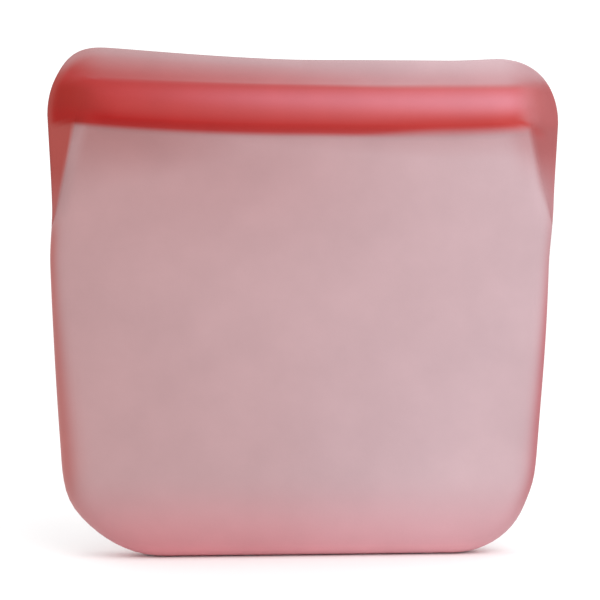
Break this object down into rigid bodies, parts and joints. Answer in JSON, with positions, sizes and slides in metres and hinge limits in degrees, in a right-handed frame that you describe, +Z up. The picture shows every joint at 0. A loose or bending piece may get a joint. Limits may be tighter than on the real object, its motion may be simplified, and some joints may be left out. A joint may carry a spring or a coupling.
{
  "type": "reusable silicone bag",
  "caption": "Upright flat food bag of soft translucent silicone, 25 mm deep at its rounded base and pinched flat at a press-to-close mouth with folded side gussets.",
  "frame": {"origin": "middle of the flat underside of the base", "axes": "+Z up towards the mouth, -Y out of the front face, +X to the right seen from the front"},
  "size_m": [0.19, 0.025, 0.1879],
  "materials": {
    "wall": "satin frosted translucent pink silicone, 1 mm thick",
    "rail": "the same silicone, deep coral red where it is thick along the press lock",
    "gusset": "the same silicone, darker where two folded layers lie on each other"
  },
  "bodies": {
    "pouch": {"base_wall": "wall", "left_base_corner": "wall", "right_base_corner": "wall", "left_side_wall": "wall", "right_side_wall": "wall", "front_panel": "wall", "back_panel": "wall"},
    "front_mouth": {"front_upper_panel": "wall", "front_rail": "rail", "front_lip": "wall", "locking_bead": "rail"},
    "back_mouth": {"back_upper_panel": "wall", "back_rail": "rail", "back_lip": "wall", "lower_channel_jaw": "rail", "upper_channel_jaw": "rail", "left_channel_stop": "rail", "right_channel_stop": "rail"},
    "front_left_ear": {"front_left_gusset": "gusset", "front_left_rail_end": "rail"},
    "front_right_ear": {"front_right_gusset": "gusset", "front_right_rail_end": "rail"},
    "back_left_ear": {"back_left_gusset": "gusset", "back_left_rail_end": "rail"},
    "back_right_ear": {"back_right_gusset": "gusset", "back_right_rail_end": "rail"}
  },
  "joints": [
    {"name": "front_mouth_flex", "type": "hinge", "parent": "pouch", "child": "front_mouth", "pos_m": [0, -0.00594, 0.122], "axis": [1, 0, 0], "range_deg": [0, 10], "stiffness_Nm_per_rad": 0.03},
    {"name": "back_mouth_flex", "type": "hinge", "parent": "pouch", "child": "back_mouth", "pos_m": [0, 0.00594, 0.122], "axis": [-1, 0, 0], "range_deg": [0, 10], "stiffness_Nm_per_rad": 0.03},
    {"name": "front_left_crease", "type": "hinge", "parent": "front_mouth", "child": "front_left_ear", "pos_m": [-0.09282, -0.00015, 0.122], "axis": [-0.1992, 0, -0.98], "range_deg": [0, 42.5]},
    {"name": "front_right_crease", "type": "hinge", "parent": "front_mouth", "child": "front_right_ear", "pos_m": [0.09282, -0.00015, 0.122], "axis": [-0.1992, 0, 0.98], "range_deg": [0, 42.5]},
    {"name": "back_left_crease", "type": "hinge", "parent": "back_mouth", "child": "back_left_ear", "pos_m": [-0.09282, 0.00015, 0.122], "axis": [0.1992, 0, 0.98], "range_deg": [0, 42.5]},
    {"name": "back_right_crease", "type": "hinge", "parent": "back_mouth", "child": "back_right_ear", "pos_m": [0.09282, 0.00015, 0.122], "axis": [0.1992, 0, -0.98], "range_deg": [0, 42.5]}
  ],
  "couplings": [
    {"joint": "back_mouth_flex", "follows": "front_mouth_flex", "ratio": 1},
    {"joint": "front_left_crease", "follows": "front_mouth_flex", "ratio": 4.25},
    {"joint": "front_right_crease", "follows": "front_mouth_flex", "ratio": 4.25},
    {"joint": "back_left_crease", "follows": "front_mouth_flex", "ratio": 4.25},
    {"joint": "back_right_crease", "follows": "front_mouth_flex", "ratio": 4.25}
  ]
}
